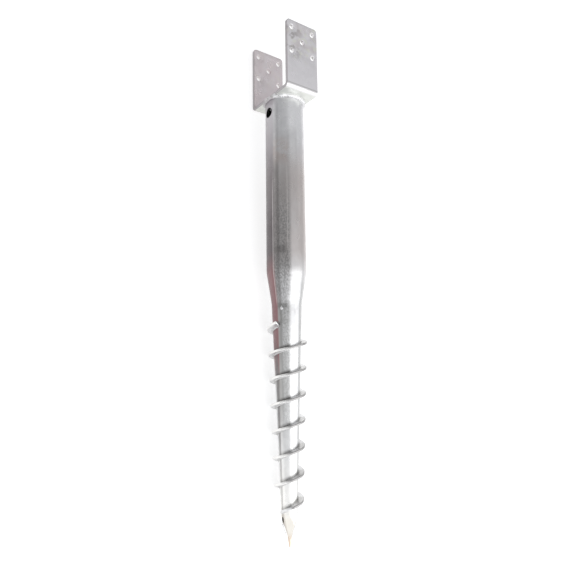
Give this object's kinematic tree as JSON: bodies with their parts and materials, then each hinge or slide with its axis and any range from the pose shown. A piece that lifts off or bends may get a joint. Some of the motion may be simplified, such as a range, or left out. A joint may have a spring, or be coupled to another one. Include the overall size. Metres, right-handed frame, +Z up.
{
  "type": "foundation ground screw",
  "caption": "Galvanised steel ground screw: a swaged tube and long cone with a welded helical flight, a pressed point and a folded fork that takes a square post.",
  "frame": {"origin": "on the ground plane, under the middle of the lying screw's box", "axes": "+X along the ground from the point to the fork, +Y across the screw along its bar hole, +Z up; the screw's own axis is tipped down towards the point by the small angle at which it rests"},
  "size_m": [0.8748, 0.0772, 0.1184],
  "materials": {
    "galvanised_tube": "hot-dip zinc, soft satin with faint grain",
    "galvanised_plate": "hot-dip zinc, patchy spangle",
    "galvanised_flight": "hot-dip zinc, bright edges",
    "galvanised_weld": "hot-dip zinc over weld metal, lumpy"
  },
  "bodies": {
    "root": {"ground_tube": "galvanised_tube", "fork_bracket": "galvanised_plate", "helical_flight": "galvanised_flight", "fork_weld": "galvanised_weld", "flight_weld": "galvanised_weld", "tip_seam_weld": "galvanised_weld"}
  },
  "joints": []
}
